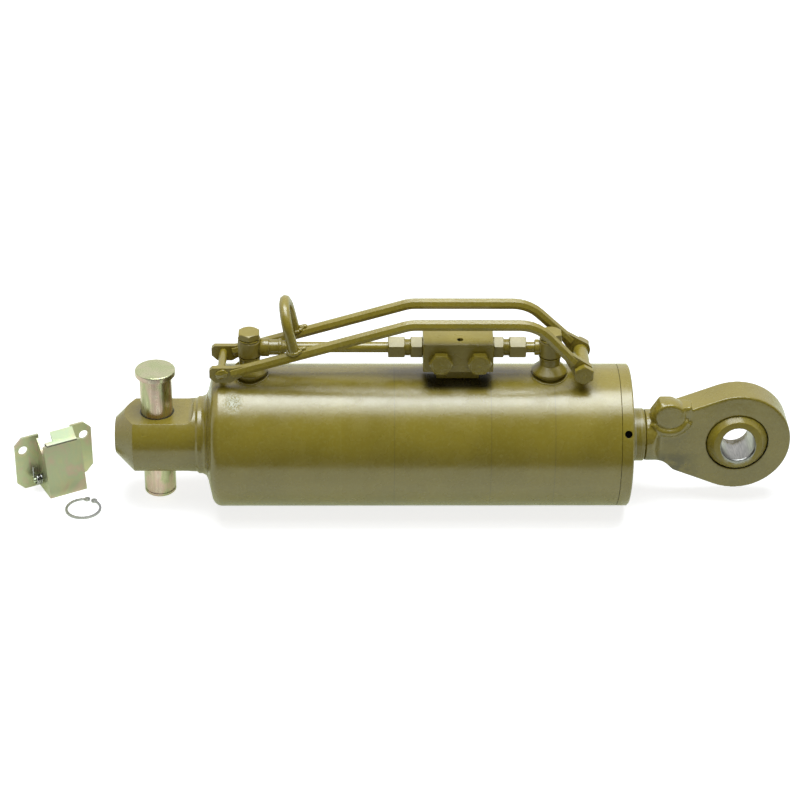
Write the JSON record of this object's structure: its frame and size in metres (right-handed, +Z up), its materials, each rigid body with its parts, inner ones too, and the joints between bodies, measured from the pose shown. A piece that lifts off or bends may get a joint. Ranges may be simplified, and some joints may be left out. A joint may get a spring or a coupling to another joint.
{
  "type": "tractor top link",
  "caption": "Hydraulic tractor top link: pinned nose, cylinder with handle, hoop and pilot check valve, ball eye on the rod, with a loose circlip and spring catch.",
  "frame": {"origin": "centre of the nose's flat end face, on the cylinder's axis", "axes": "+X along the cylinder from the nose to the ball eye, +Z up through the handle, +Y to the rear of the pictured side"},
  "size_m": [0.7367, 0.135, 0.2149],
  "materials": {
    "olive_paint": "satin sprayed olive enamel",
    "yellow_zinc": "yellow passivated zinc, faintly iridescent",
    "bare_steel": "machined bright steel",
    "rod_chrome": "ground hard chrome",
    "seal_rubber": "matt black nitrile",
    "guide_ring": "bronze filled bearing tape"
  },
  "bodies": {
    "cylinder": {"barrel": "olive_paint", "nose_lug": "olive_paint", "gland": "olive_paint", "cap_port_boss": "olive_paint", "rod_port_boss": "olive_paint", "cap_banjo": "olive_paint", "rod_banjo": "olive_paint", "cap_banjo_bolt": "olive_paint", "rod_banjo_bolt": "olive_paint", "long_pipe": "olive_paint", "short_pipe": "olive_paint", "long_pipe_nut": "olive_paint", "short_pipe_nut": "olive_paint", "long_pipe_fitting": "olive_paint", "short_pipe_fitting": "olive_paint", "valve_block": "olive_paint", "valve_foot": "olive_paint", "left_port_plug": "olive_paint", "right_port_plug": "olive_paint", "front_handle_bar": "olive_paint", "rear_handle_bar": "olive_paint", "handle_hoop": "olive_paint", "handle_pin": "olive_paint", "gland_bolt": "olive_paint", "gland_bolt_nut": "olive_paint", "handle_spacer": "olive_paint", "base_saddle": "olive_paint", "gland_saddle": "olive_paint", "left_check_spring": "bare_steel", "right_check_spring": "bare_steel", "cap_lower_seal": "bare_steel", "cap_upper_seal": "bare_steel", "rod_lower_seal": "bare_steel", "rod_upper_seal": "bare_steel", "gland_o_ring": "seal_rubber", "rod_seal": "seal_rubber", "rod_wiper": "seal_rubber", "rod_guide_ring": "guide_ring"},
    "piston_set": {"piston": "bare_steel", "piston_seal": "seal_rubber", "rod_side_wear_ring": "guide_ring", "cap_side_wear_ring": "guide_ring"},
    "rod": {"piston_rod": "rod_chrome", "piston_nut": "bare_steel", "rod_eye": "olive_paint"},
    "ball": {"eye_ball": "bare_steel"},
    "pin": {"hitch_pin": "yellow_zinc"},
    "circlip": {"circlip": "bare_steel"},
    "catch": {"catch_housing": "yellow_zinc", "catch_pin": "yellow_zinc", "catch_spring": "bare_steel"},
    "flap": {"catch_flap": "yellow_zinc"},
    "left_poppet": {"left_check_poppet": "bare_steel"},
    "right_poppet": {"right_check_poppet": "bare_steel"},
    "pilot": {"pilot_piston": "bare_steel"}
  },
  "joints": [
    {"name": "rod_slide", "type": "slide", "parent": "cylinder", "child": "piston_set", "axis": [1, 0, 0], "range_m": [0, 0.21]},
    {"name": "rod_turn", "type": "hinge", "parent": "piston_set", "child": "rod", "pos_m": [0.3, 0, 0], "axis": [1, 0, 0], "continuous": true},
    {"name": "ball_swivel", "type": "hinge", "parent": "rod", "child": "ball", "pos_m": [0.587, 0, 0], "axis": [0, 0, 1], "range_deg": [-14, 14]},
    {"name": "pin_slide", "type": "slide", "parent": "cylinder", "child": "pin", "axis": [0, 0, 1], "range_m": [-0.0397, 0.09]},
    {"name": "circlip_lift", "type": "slide", "parent": "cylinder", "child": "circlip", "axis": [0, 0, 1], "range_m": [0, 0.03]},
    {"name": "catch_lift", "type": "slide", "parent": "cylinder", "child": "catch", "axis": [0, 0, 1], "range_m": [0, 0.05]},
    {"name": "flap_hinge", "type": "hinge", "parent": "catch", "child": "flap", "pos_m": [-0.05805, 0.01781, -0.055], "axis": [-0.8829, -0.4695, 0], "range_deg": [0, 25], "stiffness_Nm_per_rad": 0.1, "springref_deg": -28.65, "deforming": ["catch_spring"]},
    {"name": "left_poppet_slide", "type": "slide", "parent": "cylinder", "child": "left_poppet", "axis": [-1, 0, 0], "range_m": [0, 0.0012], "stiffness_N_per_m": 100, "springref_m": -0.01, "deforming": ["left_check_spring"]},
    {"name": "right_poppet_slide", "type": "slide", "parent": "cylinder", "child": "right_poppet", "axis": [1, 0, 0], "range_m": [0, 0.0012], "stiffness_N_per_m": 100, "springref_m": -0.01, "deforming": ["right_check_spring"]},
    {"name": "pilot_slide", "type": "slide", "parent": "cylinder", "child": "pilot", "axis": [1, 0, 0], "range_m": [-0.0008, 0.0008]}
  ]
}
